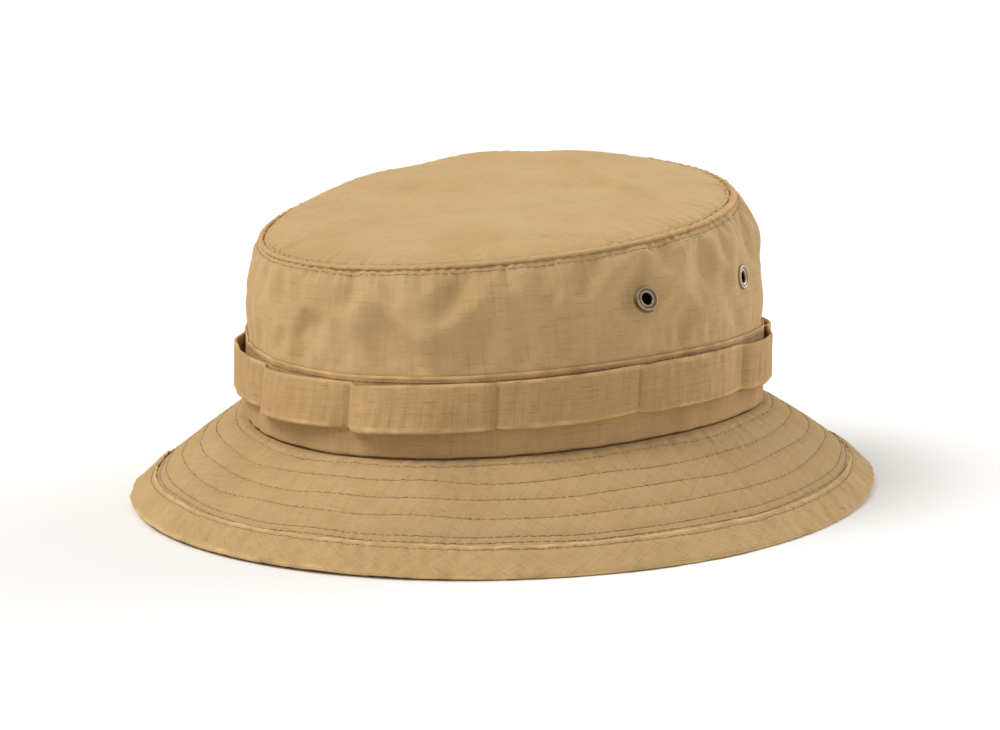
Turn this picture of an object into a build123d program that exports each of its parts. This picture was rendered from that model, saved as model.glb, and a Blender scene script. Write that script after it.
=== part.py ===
"""Boonie hat in ripstop cotton: crown, base band with foliage loops, quilted brim, sweatband and vents.

Millimetres. +Z is up, the front of the hat faces -Y and the wearer's left is +X.
The hat stands on its brim, and the origin is the centre of that footprint on the resting plane.

Every sewn layer is a strip that follows the outline of the hat and runs round an oval drawn with
four arcs. The outline is walked from the brim's edge upwards, with the outside on the right hand.
"""

import os
from math import atan2, cos, degrees, radians, sin

from build123d import *

# Head oval: outer face of the base band where it meets the brim.
head_half_width = 89.4
head_length_ratio = 1.1398
oval_end_share = 0.8949

# Brim, measured along its slope from the resting edge to the crown.
brim_slant = 50.9
brim_edge_slope = 52.25
brim_seam_slope = 29.25
brim_row_count = 5
brim_first_row = 4.2
brim_last_row_gap = 4.0

# Crown side wall, its rounded top corner and the domed top.
wall_height = 55.2
wall_lean = 4.9
corner_radius = 21.2
corner_turn = 36.8
dome_rise_angle = 6.8
dome_core = 12.0

# Cloth, tape and thread.
crown_ply = 0.6
base_band_ply = 0.8
base_band_width = 25.7
brim_ply = 0.6
stiffener_ply = 0.85
binding_ply = 0.6
binding_width = 11.5
binding_nose = 2.75
sweatband_ply = 1.2
sweatband_width = 32.5
sweatband_below_seam = 3.5
tape_ply = 0.5
tape_width = 9.5
tape_inset = 1.5
thread_width = 0.45
thread_height = 0.3
welt_radius = 0.7
fold_row_inset = 2.2
layer_gap = 0.05
thread_gap = 0.02
seam_gap = 0.7
band_clearance = 0.15

# Foliage loop band: one strap tacked down between equal loops.
loop_count = 12
loop_strap_ply = 1.1
loop_strap_width = 14.5
loop_strap_below_fold = 2.7
loop_stand_off = 3.4
tack_width = 3.0
bar_tack_width = 1.8
bar_tack_inset = 1.0
bar_tack_height = 0.5

# Vent eyelets, two on each side of the crown.
eyelet_hole_radius = 2.25
eyelet_barrel_radius = 2.6
eyelet_flange_radius = 4.2
eyelet_flange_height = 0.55
eyelet_curl_height = 0.35
washer_radius = 4.6
washer_ply = 0.4
washer_stand_off = 0.16
eyelet_rise_share = 0.756
eyelet_half_spacing = 29.0
eyelet_clearance = 0.1

# Labels inside the hat, both blank.
care_label_width = 24.0
care_label_length = 37.0
care_label_ply = 0.4
care_label_head = 3.5
care_label_room = 0.25
care_label_fold = 0.35
size_label_width = 28.0
size_label_height = 15.0
size_label_ply = 0.35
size_label_base = 6.0
label_stitch_inset = 1.6
back_seam_half_gap = 3.0
back_seam_margin = 1.5


class Outline:
    """A path in the (r, z) half plane made of straight runs and bends, walked with left turns positive."""

    def __init__(self, start, heading, runs):
        self.stations = []
        r, z = start
        travelled = 0.0
        for length, turn in runs:
            self.stations.append((travelled, length, turn, r, z, heading))
            r, z = self.advance(r, z, heading, length, turn, length)
            heading += turn
            travelled += length
        self.length = travelled
        self.end_heading = heading

    @staticmethod
    def advance(r, z, heading, length, turn, distance):
        """Point reached after a distance along one run."""
        if not turn:
            return r + distance * cos(radians(heading)), z + distance * sin(radians(heading))
        radius = length / radians(turn)
        swept = radians(heading) + distance / radius
        return (
            r + radius * (sin(swept) - sin(radians(heading))),
            z - radius * (cos(swept) - cos(radians(heading))),
        )

    def at(self, distance, offset=0.0):
        """Point at a distance along the path, offset towards the outside of the hat."""
        station = self.stations[0]
        for candidate in self.stations[1:]:
            if distance > candidate[0]:
                station = candidate
        travelled, length, turn, r, z, heading = station
        along = distance - travelled
        if along < 0:
            turn = 0.0
        r, z = self.advance(r, z, heading, length, turn, along)
        heading += turn * along / length
        return r + offset * sin(radians(heading)), z - offset * cos(radians(heading))

    def edges(self, begin, end, offset):
        """Edges of the offset path between two distances, one for each run."""
        cuts = [s[0] for s in self.stations[1:] if begin < s[0] < end]
        if begin < 0 < end:
            cuts = [0.0] + cuts
        bounds = [begin] + cuts + [end]
        made = []
        for low, high in zip(bounds[:-1], bounds[1:]):
            middle = (low + high) / 2
            points = [space(self.at(s, offset)) for s in (low, middle, high)]
            straight = Line(points[0], points[2])
            if straight.distance_to(Vector(*points[1])) < 1e-6:
                made.append(straight)
            else:
                made.append(ThreePointArc(*points))
        return made

    def strip(self, begin, end, inner, outer):
        """Face of a cloth layer between two distances and two offsets."""
        outside = self.edges(begin, end, outer)
        inside = self.edges(begin, end, inner)
        ends = [
            Line(space(self.at(begin, inner)), space(self.at(begin, outer))),
            Line(space(self.at(end, inner)), space(self.at(end, outer))),
        ]
        return make_face(outside + inside + ends)


def space(point):
    """Point of the (r, z) half plane in space."""
    return (point[0], 0.0, point[1])


# The four-arc oval: end arcs about (0, +-end_centre), side arcs about (-+side_centre, 0).
oval_end_radius = oval_end_share * head_half_width
end_centre = head_length_ratio * head_half_width - oval_end_radius
end_shift = head_half_width - oval_end_radius
side_centre = (end_centre**2 - end_shift**2) / (2 * end_shift)
side_sweep = degrees(atan2(end_centre, side_centre))


def ring(face):
    """Solid swept by a section round the whole oval. Its x is the half width of the hat there."""
    side_face = Rot(0, 0, -side_sweep) * (Pos(side_centre, 0, 0) * face)
    side = revolve(side_face, Axis.Z, 2 * side_sweep)
    end_face = Rot(0, 0, side_sweep) * (Pos(-end_shift, 0, 0) * face)
    end = revolve(end_face, Axis.Z, 180 - 2 * side_sweep)
    quarters = [
        Pos(0, end_centre, 0) * end,
        Pos(side_centre, 0, 0) * (Rot(0, 0, 180) * side),
        Pos(0, -end_centre, 0) * (Rot(0, 0, 180) * end),
    ]
    return (Pos(-side_centre, 0, 0) * side).fuse(*quarters).clean()


def oval_arcs(half_width):
    """Lengths of one end arc and one side arc of the oval at a given half width."""
    end_arc = radians(180 - 2 * side_sweep) * (half_width - end_shift)
    side_arc = radians(2 * side_sweep) * (half_width + side_centre)
    return end_arc, side_arc


def oval_length(half_width):
    """Way round the oval at a given half width."""
    return 2 * sum(oval_arcs(half_width))


def around(fraction, half_width):
    """Point and outward angle at a share of the way round the oval, from the front towards +X."""
    end_arc, side_arc = oval_arcs(half_width)
    travelled = (fraction % 1.0) * oval_length(half_width)
    spans = [
        (end_arc / 2, (0.0, -end_centre), -90.0, half_width - end_shift),
        (side_arc, (-side_centre, 0.0), -side_sweep, half_width + side_centre),
        (end_arc, (0.0, end_centre), side_sweep, half_width - end_shift),
        (side_arc, (side_centre, 0.0), 180 - side_sweep, half_width + side_centre),
        (end_arc / 2, (0.0, -end_centre), 180 + side_sweep, half_width - end_shift),
    ]
    for length, centre, start_angle, radius in spans:
        if travelled <= length:
            angle = start_angle + degrees(travelled / radius)
            break
        travelled -= length
    return (
        centre[0] + radius * cos(radians(angle)),
        centre[1] + radius * sin(radians(angle)),
        angle,
    )


# Outlines of the brim, the crown wall and the top panel, each starting where the last one ends.
brim_turn = brim_edge_slope - brim_seam_slope
brim_bend = brim_slant / radians(brim_turn)
brim_reach = brim_bend * (sin(radians(brim_edge_slope)) - sin(radians(brim_seam_slope)))
brim = Outline(
    (head_half_width + brim_reach, 0.0), 180 - brim_edge_slope, [(brim_slant, brim_turn)]
)
corner_length = corner_radius * radians(corner_turn)
wall = Outline(
    brim.at(brim_slant), 90 + wall_lean, [(wall_height, 0.0), (corner_length, corner_turn)]
)
wall_end = wall.at(wall.length)
dome_start = (wall_end[0] - seam_gap, wall_end[1])
dome = Outline(
    dome_start,
    180 - dome_rise_angle,
    [(dome_start[0] - dome_core, dome_rise_angle)],
)

# Offsets of the layers behind the base band's outer face, and below the brim's upper face.
band_back = -base_band_ply
crown_face = band_back - layer_gap
crown_back = crown_face - crown_ply
sweat_back = crown_back - band_clearance
sweat_face = sweat_back - sweatband_ply
tape_back = crown_back - layer_gap
tape_face = tape_back - tape_ply
strap_back = 2 * layer_gap
strap_face = strap_back + loop_strap_ply
brim_upper_back = -brim_ply
stiffener_face = brim_upper_back - layer_gap
stiffener_back = stiffener_face - stiffener_ply
brim_lower_face = stiffener_back - layer_gap
brim_lower_back = brim_lower_face - brim_ply
brim_ply_edge = binding_nose + layer_gap
binding_face = layer_gap + binding_ply
binding_under = brim_lower_back - binding_face

# Distances along the outlines: stitch rows, strap and vents.
binding_row = binding_width - fold_row_inset / 2
brim_edge_row = binding_width + fold_row_inset / 2
brim_rows_reach = brim_slant - brim_first_row - binding_width - brim_last_row_gap
brim_row_spacing = brim_rows_reach / (brim_row_count - 1)
loop_strap_base = base_band_width - loop_strap_below_fold - loop_strap_width
eyelet_height = base_band_width + eyelet_rise_share * (wall_height - base_band_width)


def thread_row(outline, distance, surface, side=1):
    """Thread lying on a surface, on its outside or, with side -1, on its inside."""
    near = surface + side * thread_gap
    far = near + side * thread_height
    half = thread_width / 2
    return ring(outline.strip(distance - half, distance + half, min(near, far), max(near, far)))


def oval_face(half_width):
    """Flat oval of a given half width."""
    share = oval_arcs(half_width)[0] / 2 / oval_length(half_width)
    joints = [around(t, half_width)[:2] for t in (-share, share, 0.5 - share, 0.5 + share)]
    middles = [around(t, half_width)[:2] for t in (0.0, 0.25, 0.5, 0.75)]
    arcs = [ThreePointArc(joints[n], middles[n], joints[(n + 1) % 4]) for n in range(4)]
    return make_face(arcs)


def crown_top_panel():
    """Domed oval top, with a flat middle that closes the ring."""
    skirt = ring(dome.strip(0, dome.length, -crown_ply, 0))
    core_half_width, core_height = dome.at(dome.length)
    core = Pos(0, 0, core_height - crown_ply) * oval_face(core_half_width)
    return skirt.fuse(extrude(core, crown_ply, dir=(0, 0, 1))).clean()


def vent_places():
    """Frame of each vent on the outer face of the crown, its z pointing straight outwards."""
    half_width = wall.at(eyelet_height, crown_face)[0]
    height = wall.at(eyelet_height, crown_face)[1]
    perimeter = oval_length(half_width)
    places = {}
    for side, middle in (("left", 0.25), ("right", 0.75)):
        for end, step in (("front", -1), ("rear", 1)):
            turn = step if side == "left" else -step
            x, y, angle = around(middle + turn * eyelet_half_spacing / perimeter, half_width)
            lean = radians(wall_lean)
            outwards = (
                cos(radians(angle)) * cos(lean),
                sin(radians(angle)) * cos(lean),
                sin(lean),
            )
            places[side + "_" + end] = Plane(origin=(x, y, height), z_dir=outwards)
    return places


def crown_side_panel():
    """Side wall from the brim seam to the top seam, pierced for the vents."""
    panel = ring(wall.strip(layer_gap, wall.length, crown_back, crown_face))
    hole = Cylinder(eyelet_barrel_radius + eyelet_clearance, 8 * crown_ply)
    for place in vent_places().values():
        panel -= place * hole
    return panel


def eyelet():
    """Flanged barrel whose inner end is curled over the washer."""
    depth = crown_ply + washer_stand_off + washer_ply + thread_gap
    flange = Pos(0, 0, thread_gap + eyelet_flange_height / 2) * Cylinder(
        eyelet_flange_radius, eyelet_flange_height
    )
    flange = fillet(flange.edges().sort_by(Axis.Z)[-1], eyelet_flange_height * 0.8)
    barrel_top = thread_gap + eyelet_flange_height / 2
    barrel_length = barrel_top + depth + eyelet_curl_height / 2
    barrel = Pos(0, 0, barrel_top - barrel_length / 2) * Cylinder(eyelet_barrel_radius, barrel_length)
    curl = Pos(0, 0, -depth - eyelet_curl_height / 2) * Cylinder(
        eyelet_barrel_radius + 2 * eyelet_curl_height, eyelet_curl_height
    )
    bore = Cylinder(eyelet_hole_radius, 8 * depth)
    return flange + barrel + curl - bore


def washer():
    """Flat ring under the curled end of an eyelet."""
    middle = -crown_ply - washer_stand_off - washer_ply / 2
    disc = Cylinder(washer_radius, washer_ply) - Cylinder(
        eyelet_barrel_radius + eyelet_clearance, 2 * washer_ply
    )
    return Pos(0, 0, middle) * disc


def foliage_loop_band():
    """Strap that lies flat at each tack and bows out from the base band between them."""
    section = wall.strip(
        loop_strap_base, loop_strap_base + loop_strap_width, strap_back, strap_face
    )
    half_width = wall.at(loop_strap_base, strap_back)[0]
    half_tack = tack_width / 2 / oval_length(half_width)
    pieces = []
    for n in range(loop_count):
        tack, middle, next_tack = [(n + share) / loop_count for share in (0, 0.5, 1)]
        x, y, angle = around(tack, half_width)
        flat = extrude(Pos(-half_width, 0, 0) * section, tack_width / 2, both=True)
        pieces.append(Pos(x, y, 0) * (Rot(0, 0, angle) * flat))
        start = around(tack + half_tack, half_width)
        bow = around(middle, half_width + loop_stand_off)
        end = around(next_tack - half_tack, half_width)
        arc = ThreePointArc(start[:2], bow[:2], end[:2])
        centre, radius = arc.arc_center, arc.radius
        begin = degrees(atan2(start[1] - centre.Y, start[0] - centre.X))
        loop = revolve(
            Pos(radius - half_width, 0, 0) * section, Axis.Z, degrees(arc.length / radius)
        )
        pieces.append(Pos(centre.X, centre.Y, 0) * (Rot(0, 0, begin) * loop))
    return pieces[0].fuse(*pieces[1:]).clean()


def loop_bar_tacks():
    """Dense thread bars that hold the strap, one at each tack."""
    bars = []
    middle = loop_strap_base + loop_strap_width / 2
    offset = strap_face + thread_gap + bar_tack_height / 2
    half_width, height = wall.at(middle, offset)
    for n in range(loop_count):
        x, y, angle = around(n / loop_count, half_width)
        bar = Box(bar_tack_height, bar_tack_width, loop_strap_width - 2 * bar_tack_inset)
        bars.append(Pos(x, y, height) * (Rot(0, 0, angle) * (Rot(0, -wall_lean, 0) * bar)))
    return Compound(bars)


def brim_edge_binding():
    """Folded strip round the brim's edge, flat where it rests."""
    folded = brim.strip(-2 * binding_ply, binding_width, binding_under, binding_face)
    pocket = brim.strip(
        binding_nose, 2 * binding_width, brim_lower_back - layer_gap, layer_gap
    )
    above_floor = Pos(head_half_width, 0, brim_slant) * (
        Rot(90, 0, 0) * Rectangle(4 * brim_reach, 2 * brim_slant)
    )
    return ring((folded & above_floor).face() - pocket)


def brim_stitching(distance, upper_face, lower_face):
    """One row through the brim: needle thread on the upper side, bobbin thread underneath."""
    upper = thread_row(brim, distance, upper_face)
    under = thread_row(brim, distance, lower_face, -1)
    return Compound([upper, under])


def patch(outline, begin, end, inner, outer, middle, width):
    """Piece of a ring layer about one point of the oval, at the given share of the way round."""
    x, y, angle = around(middle, head_half_width)
    layer = ring(outline.strip(begin, end, inner, outer))
    window = Pos(x, y, 0) * (Rot(0, 0, angle) * Box(head_half_width, width, 1000))
    return layer & window


def size_label():
    """Blank woven size label on the back of the sweatband."""
    return patch(
        wall,
        size_label_base,
        size_label_base + size_label_height,
        sweat_face - thread_gap - size_label_ply,
        sweat_face - thread_gap,
        0.5,
        size_label_width,
    )


def size_label_stitching():
    """Thread round the size label, just inside its edge."""
    face = sweat_face - 2 * thread_gap - size_label_ply
    begin = size_label_base + label_stitch_inset
    end = size_label_base + size_label_height - label_stitch_inset
    width = size_label_width - 2 * label_stitch_inset
    whole = patch(wall, begin, end, face - thread_height, face, 0.5, width)
    inner_width = width - 2 * thread_width
    low, high = begin + thread_width, end - thread_width
    depth = 2 * thread_height
    opening = patch(wall, low, high, face - depth, face + depth, 0.5, inner_width)
    return whole - opening


def care_label_place():
    """Height and y of the care label's hinge line, on the seam tape at the back of the crown."""
    lower_edge = wall.length - tape_inset - tape_width
    height = wall.at(lower_edge)[1]
    tape_radius = wall.at(lower_edge + care_label_head, tape_face)[0] - end_shift
    tape_y = end_centre + (tape_radius**2 - (care_label_width / 2) ** 2) ** 0.5
    return height, tape_y - care_label_room - care_label_ply / 2


def care_label_flap():
    """Blank label that hangs free inside the back of the crown."""
    height, y = care_label_place()
    plate = Box(care_label_width, care_label_ply, care_label_length)
    return Pos(0, y, height - care_label_fold - care_label_length / 2) * plate


def care_label_top():
    """Sewn top of the care label, above its hinge line."""
    height, y = care_label_place()
    head = Box(care_label_width, care_label_ply, care_label_head)
    return Pos(0, y, height + care_label_head / 2) * head


def care_label_stitching():
    """Row of thread across the care label's sewn top."""
    height, y = care_label_place()
    row = Box(care_label_width - 2 * label_stitch_inset, thread_height, thread_width)
    face = y - care_label_ply / 2 - thread_gap - thread_height / 2
    return Pos(0, face, height + care_label_head / 2) * row


def back_seam_stitching():
    """Twin rows of thread down the centre back seam of the crown wall."""
    rows = []
    begin = base_band_width + back_seam_margin
    end = wall_height
    for side in (-1, 1):
        rows.append(
            patch(
                wall,
                begin,
                end,
                crown_face + thread_gap,
                crown_face + thread_gap + thread_height,
                0.5 + side * back_seam_half_gap / oval_length(head_half_width),
                thread_width,
            )
        )
    return Compound([row.solid() for row in rows])


def crown_top_welt():
    """Corded fold of the seam between the top and the side wall."""
    r, z = wall.at(wall.length, welt_radius + layer_gap)
    return ring(Pos(r, 0, z) * (Rot(90, 0, 0) * Circle(welt_radius)))


tape_end = wall.length - tape_inset
sweat_begin = -sweatband_below_seam
sweat_end = sweatband_width - sweatband_below_seam
parts = {
    "crown_top_panel": crown_top_panel(),
    "crown_side_panel": crown_side_panel(),
    "crown_top_welt": crown_top_welt(),
    "crown_top_stitching": thread_row(wall, wall.length - 1.5 * fold_row_inset, crown_face),
    "crown_seam_tape": ring(wall.strip(tape_end - tape_width, tape_end, tape_face, tape_back)),
    "crown_back_seam_stitching": back_seam_stitching(),
    "base_band": ring(wall.strip(layer_gap, base_band_width, band_back, 0)),
    "base_band_stitching": thread_row(wall, base_band_width - fold_row_inset / 2, 0),
    "foliage_loop_band": foliage_loop_band(),
    "loop_bar_tacks": loop_bar_tacks(),
    "sweatband": ring(wall.strip(sweat_begin, sweat_end, sweat_face, sweat_back)),
    "sweatband_stitching": thread_row(wall, sweat_begin + fold_row_inset, sweat_face, -1),
    "brim_upper_panel": ring(brim.strip(brim_ply_edge, brim_slant, brim_upper_back, 0)),
    "brim_stiffener": ring(brim.strip(brim_ply_edge, brim_slant, stiffener_back, stiffener_face)),
    "brim_lower_panel": ring(brim.strip(brim_ply_edge, brim_slant, brim_lower_back, brim_lower_face)),
    "brim_edge_binding": brim_edge_binding(),
    "binding_fold_stitching": brim_stitching(binding_row, binding_face, binding_under),
    "brim_edge_stitching": brim_stitching(brim_edge_row, 0, brim_lower_back),
    "size_label": size_label(),
    "size_label_stitching": size_label_stitching(),
    "care_label_top": care_label_top(),
    "care_label_stitching": care_label_stitching(),
    "care_label_flap": care_label_flap(),
}
for row in range(brim_row_count):
    row_distance = brim_slant - brim_first_row - row * brim_row_spacing
    parts["brim_stitch_row_" + str(row + 1)] = brim_stitching(row_distance, 0, brim_lower_back)
for place_name, place in vent_places().items():
    parts["vent_eyelet_" + place_name] = place * eyelet()
    parts["vent_washer_" + place_name] = place * washer()

os.makedirs("parts", exist_ok=True)
for name, shape in parts.items():
    export_step(shape, "parts/" + name + ".step")
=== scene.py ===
import math

import bpy
import numpy as np
from mathutils import Matrix, Vector


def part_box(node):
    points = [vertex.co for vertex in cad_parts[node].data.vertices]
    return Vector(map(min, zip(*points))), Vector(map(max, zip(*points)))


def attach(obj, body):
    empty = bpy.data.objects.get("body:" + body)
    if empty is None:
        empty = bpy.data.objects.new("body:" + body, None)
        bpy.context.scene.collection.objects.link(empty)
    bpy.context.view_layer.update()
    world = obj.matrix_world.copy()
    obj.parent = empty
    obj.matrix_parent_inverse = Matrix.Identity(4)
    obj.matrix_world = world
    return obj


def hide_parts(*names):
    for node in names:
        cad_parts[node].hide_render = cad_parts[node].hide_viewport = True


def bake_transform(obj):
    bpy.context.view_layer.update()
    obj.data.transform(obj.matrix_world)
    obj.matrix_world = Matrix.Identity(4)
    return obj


# A boonie hat in ripstop cotton, sewn up in the order a hatter would: the outline of the shell
# first, then its cloth panels, the thread, the vents, the inside, and the studio.
# Lengths are millimetres until a mesh is made, which turns them to metres.

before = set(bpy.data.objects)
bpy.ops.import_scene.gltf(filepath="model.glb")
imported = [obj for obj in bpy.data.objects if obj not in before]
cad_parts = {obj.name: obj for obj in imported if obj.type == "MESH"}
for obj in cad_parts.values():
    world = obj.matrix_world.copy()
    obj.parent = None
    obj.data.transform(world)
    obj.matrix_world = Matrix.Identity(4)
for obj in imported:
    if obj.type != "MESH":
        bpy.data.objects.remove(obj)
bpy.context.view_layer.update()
MM = 0.001
TURN = 2 * math.pi


def hump(x, width):
    """A smooth hump, 1 high where x is 0."""
    return np.exp(-((x / width) ** 2))


def arc_from(t, angle, radius):
    """Distance round the hat from an angle, the short way."""
    return ((t - angle + math.pi) % TURN - math.pi) * radius


def unit(v):
    """Vectors along the last axis, made one long."""
    return v / np.linalg.norm(v, axis=-1, keepdims=True)


def new_object(name, data):
    """A new object in the scene."""
    obj = bpy.data.objects.new(name, data)
    bpy.context.scene.collection.objects.link(obj)
    return obj


# ---------------------------------------------------------------- outline of the hat

def cut_size(node):
    """Half length, half width, lowest and highest z of a CAD node."""
    low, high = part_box(node)
    return (high.y - low.y) / 2 / MM, (high.x - low.x) / 2 / MM, low.z / MM, high.z / MM


def ring(size, height, longer=0.0, wider=0.0, shift=(0.0, 0.0), lean=(0.0, 0.0), wave=(0.0, 0.0)):
    """An oval seam of the hat: its cut size, and how the soft cloth has settled away from it."""
    return {
        "a": size[0] + longer,
        "b": size[1] + wider,
        "z": height,
        "shift": shift,
        "lean": lean,
        "wave": wave,
    }


def ring_point(r, t):
    """Points of an oval seam at angles t, from the wearer's left towards the back."""
    x = r["b"] * np.cos(t)
    y = r["a"] * np.sin(t)
    z = r["z"] + r["lean"][0] * x + r["lean"][1] * y
    z = z + r["wave"][0] * np.cos(2 * t) + r["wave"][1] * np.sin(2 * t)
    return np.stack([x + r["shift"][0], y + r["shift"][1], z], -1)


edge_size = cut_size("brim_edge_binding")
band_size = cut_size("base_band")
welt_size = cut_size("crown_top_welt")
BRIM_SLANT = 50.9
BAND_WIDTH = 25.7
WALL_LENGTH = 68.8
BRIM_ARCH = 1.1
BRIM_SKEW = -0.2

EDGE = ring(edge_size, 1.9, longer=1.1, wider=-1.9, wave=(-0.9, 0.7))
SEAM = ring(band_size, band_size[2] - 1.3, longer=-2.1, wider=-1.3, wave=(1.9, -0.7))
FOLD = ring(band_size, band_size[3], longer=-4.2, wider=-0.3, wave=(2.5, -0.9))
TOP = ring(
    welt_size, welt_size[2], longer=-4.1, wider=-2.6,
    shift=(-1.7, -2.5), lean=(0.019, 0.094), wave=(-0.4, -1.2),
)

# Every ring of cloth starts and ends at the centre back, where its strip is joined.
BACK = math.pi / 2
walk = np.linspace(BACK, BACK + TURN, 1441)
steps = np.linalg.norm(np.diff(ring_point(FOLD, walk), axis=0), axis=1)
walked = np.concatenate([[0.0], np.cumsum(steps)])


def round_hat(count):
    """Angles round the hat, from the centre back, without the last one."""
    return BACK + np.arange(count) * TURN / count


def outward(t):
    """Level direction straight out of the oval."""
    return unit(np.stack([np.cos(t) / SEAM["b"], np.sin(t) / SEAM["a"], 0 * t], -1))


# The crown stands out above its band in a soft shoulder, and most to the wearer's left.
SHOULDER, SHOULDER_MORE, SHOULDER_WAY = 14.2, 2.0, 0.95


def wall_surface(t, s):
    """Foot of the crown to its top seam; s is the distance above the brim seam."""
    low, fold, top = ring_point(SEAM, t), ring_point(FOLD, t), ring_point(TOP, t)
    share = (s / BAND_WIDTH)[..., None]
    band = low + (fold - low) * share
    rise = (s - BAND_WIDTH) / (WALL_LENGTH - BAND_WIDTH)
    h = np.clip(rise, 0, 1)
    shoulder = SHOULDER + SHOULDER_MORE * np.cos(t - SHOULDER_WAY)
    bulge = shoulder * h**1.3 * (1 - h) ** 0.5
    crown = fold + (top - fold) * rise[..., None] + outward(t) * bulge[..., None]
    return np.where(share < 1, band, crown)


def brim_surface(t, s):
    """Brim's upper face; s is the slanting distance in from the resting edge."""
    w = (s / BRIM_SLANT)[..., None]
    edge, seam = ring_point(EDGE, t), ring_point(SEAM, t)
    chord = seam - edge
    ahead = ring_point(EDGE, t + 0.01) - ring_point(EDGE, t - 0.01)
    up = unit(np.cross(ahead, chord))
    return edge + chord * w + up * (4 * BRIM_ARCH * w * (1 - w) * (1 + BRIM_SKEW * (1 - 2 * w)))


def place(surface, t, s, d):
    """Points at offset d outside a surface."""
    across = surface(t + 1e-3, s) - surface(t - 1e-3, s)
    along = surface(t, s + 0.05) - surface(t, s - 0.05)
    normal = unit(np.cross(across, along))
    return surface(t, s) + normal * np.asarray(d)[..., None]


# ---------------------------------------------------------------- how the cloth settles

def ripples(seed, count, around, along, t, s):
    """Soft uneven ripples: cosines with whole turns round the hat, mostly within -1 to 1."""
    pick = np.random.default_rng(seed)
    total = 0.0
    for _ in range(count):
        k = pick.integers(around[0], around[1] + 1)
        m = pick.uniform(-along, along)
        total = total + np.cos(k * t + m * s + pick.uniform(0, TURN))
    return total / math.sqrt(count)


def creases(lines, t, s, radius):
    """Sharp-backed folds. Each line: angle, height, tilt in degrees, length, width and rise in mm."""
    total = 0.0
    for t0, s0, tilt, length, width, rise in lines:
        x = arc_from(t, t0, radius)
        y = s - s0
        c, k = math.cos(math.radians(tilt)), math.sin(math.radians(tilt))
        along, across = x * c + y * k, -x * k + y * c
        valley = hump(across + 1.5 * width, 1.25 * width)
        total = total + rise * hump(along, length) * (hump(across, width) - 0.7 * valley)
    return total


def scattered_creases(seed, count, heights, tilts, length, width, rise):
    """Creases strewn round the hat."""
    pick = np.random.default_rng(seed)
    return [
        (
            pick.uniform(0, TURN),
            pick.uniform(*heights),
            pick.choice([-1, 1]) * pick.uniform(*tilts),
            pick.uniform(*length),
            pick.uniform(*width),
            pick.uniform(*rise) * pick.choice([-1, 1]),
        )
        for _ in range(count)
    ]


STITCH = 2.8
CROWN_RADIUS = 92.0
BRIM_RADIUS = 118.0
# Each vent's angle in degrees and its height up the wall.
VENTS = {
    "left_front": (-20.5, 47.7),
    "left_rear": (13.5, 46.0),
    "right_rear": (163.5, 47.2),
    "right_front": (199.4, 47.9),
}
crown_creases = scattered_creases(11, 22, (30, 62), (25, 75), (9, 22), (2.2, 4.5), (0.15, 0.45))


def crown_slack(s):
    """How free the crown wall is to move: not at its seams, and most in the middle."""
    h = np.clip((s - BAND_WIDTH) / (WALL_LENGTH - BAND_WIDTH), 0, 1)
    return np.sin(math.pi * h) ** 0.8


def crown_relief(t, s):
    """Folds of the crown wall: those it settled into, handled creases and the seam's gathers."""
    slack = crown_slack(s)
    up = (s - BAND_WIDTH) / (WALL_LENGTH - BAND_WIDTH)
    relief = sampled(WALL_FOLDS, (t - BACK) / TURN, up)
    relief = relief + slack * creases(crown_creases, t, s, CROWN_RADIUS)
    relief = relief + slack * 0.13 * ripples(2, 14, (20, 70), 0.3, t, s)
    under = WALL_LENGTH - s
    gather = np.exp(-under / 6.0) * np.clip(under / 1.5, 0, 1)
    relief = relief + gather * 0.3 * ripples(3, 14, (70, 170), 0.12, t, s)
    relief = relief - 0.3 * hump(under - TOP_ROW, 1.0)
    for angle, height in VENTS.values():
        x = arc_from(t, math.radians(angle), CROWN_RADIUS)
        near = np.exp(-(x**2 + (s - height) ** 2) / 5.0**2)
        relief = relief * (1 - 0.85 * near)
    return relief


TOP_ROW = 2.9
FOLD_ROW = 1.7


def band_relief(t, s):
    """Base band: drawn in along its fold's stitching, and puckered a little where the brim joins."""
    relief = 0.22 * ripples(21, 10, (18, 60), 0.25, t, s) + 0.3 * ripples(22, 8, (6, 18), 0.06, t, s)
    foot = np.exp(-s / 3.0)
    relief = relief + foot * 0.08 * ripples(23, 10, (40, 90), 0.2, t, s)
    relief = relief - 0.28 * hump(s - BAND_WIDTH + FOLD_ROW, 0.8)
    for n in range(LOOPS):
        relief = relief - 0.35 * hump(from_tack(t, n), 4.0) * hump(s - 15.0, 9.0)
    return relief


BRIM_ROWS = [15.4, 23.3, 31.1, 38.9, 46.4]
EDGE_ROW = 12.9
BINDING_ROW = 9.9
brim_creases = scattered_creases(31, 14, (14, 48), (60, 90), (6, 16), (2.0, 4.0), (0.15, 0.45))


def brim_relief(t, s):
    """Brim: long lazy waves, quilted channels that puff between rows, and puckers along each row."""
    w = np.clip(s / BRIM_SLANT, 0, 1)
    hold = np.sin(math.pi * w) ** 0.7
    relief = hold * 1.15 * ripples(32, 8, (2, 7), 0.02, t, s)
    relief = relief + hold * 0.35 * ripples(33, 9, (8, 22), 0.05, t, s)
    relief = relief + hold * creases(brim_creases, t, s, BRIM_RADIUS)
    for k, row in enumerate(BRIM_ROWS + [EDGE_ROW]):
        near = s - row - row_wander(t, row)
        relief = relief - 0.34 * hump(near, 1.15)
        pucker = ripples(40 + k, 8, (90, 230), 0.35, t, s)
        relief = relief + 0.11 * pucker * hump(near, 2.4)
    relief = relief - 1.1 * hump(s - BRIM_SLANT, 1.7)
    join = np.exp(-(BRIM_SLANT - s) / 5.0) * np.clip((BRIM_SLANT - s) / 2.0, 0, 1)
    return relief + join * 0.4 * ripples(48, 10, (60, 130), 0.25, t, s)


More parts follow.
